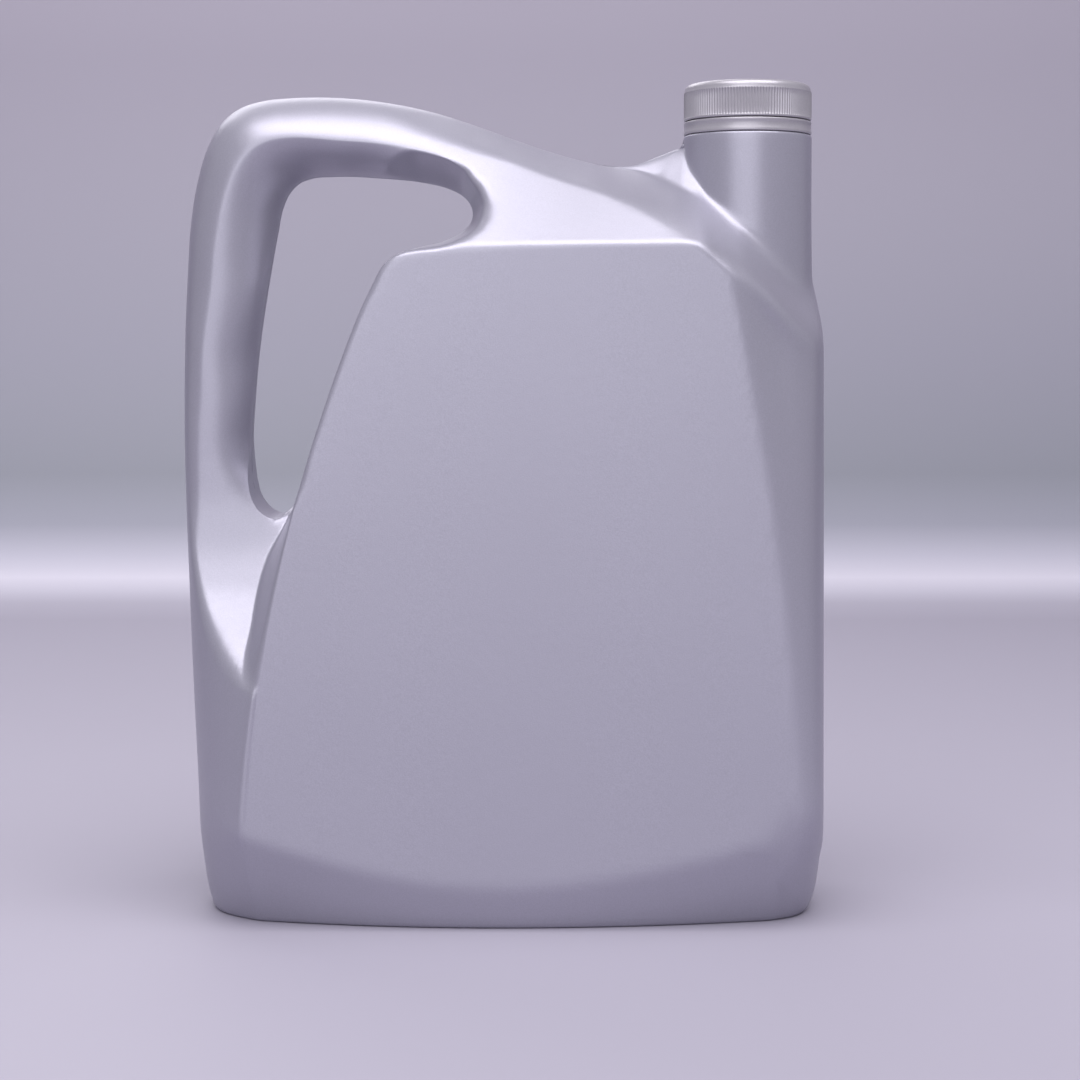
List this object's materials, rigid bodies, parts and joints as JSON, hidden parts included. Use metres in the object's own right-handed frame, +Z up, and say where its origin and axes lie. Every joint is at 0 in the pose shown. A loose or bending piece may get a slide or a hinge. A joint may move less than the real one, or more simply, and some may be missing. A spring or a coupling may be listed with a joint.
{
  "type": "motor oil bottle",
  "caption": "Blow-moulded canister for engine oil with an integral handle and window, a flat front panel, a sloping shoulder and a tall neck with a knurled screw cap.",
  "frame": {"origin": "on the ground, in the middle of the canister's width and depth", "axes": "+Z up; -Y is the front panel; the handle is at -X and the neck at +X"},
  "size_m": [0.2246, 0.1004, 0.2887],
  "materials": {
    "canister": "satin silver-grey polyethylene with a fine moulded texture",
    "closure": "satin silver-grey polypropylene",
    "wad": "smooth white foam"
  },
  "bodies": {
    "bottle": {"bottle_body": "canister", "tamper_band": "closure"},
    "liner": {"cap_liner": "wad"},
    "cap": {"cap": "closure"}
  },
  "joints": [
    {"name": "cap_lift", "type": "slide", "parent": "bottle", "child": "liner", "axis": [0, 0, 1], "range_m": [0, 0.011]},
    {"name": "cap_turn", "type": "hinge", "parent": "liner", "child": "cap", "pos_m": [0.0862, 0, 0.28], "axis": [0, 0, 1], "range_deg": [0, 900]}
  ],
  "couplings": [
    {"joint": "cap_lift", "follows": "cap_turn", "m_per_rad": 0.00066845}
  ]
}
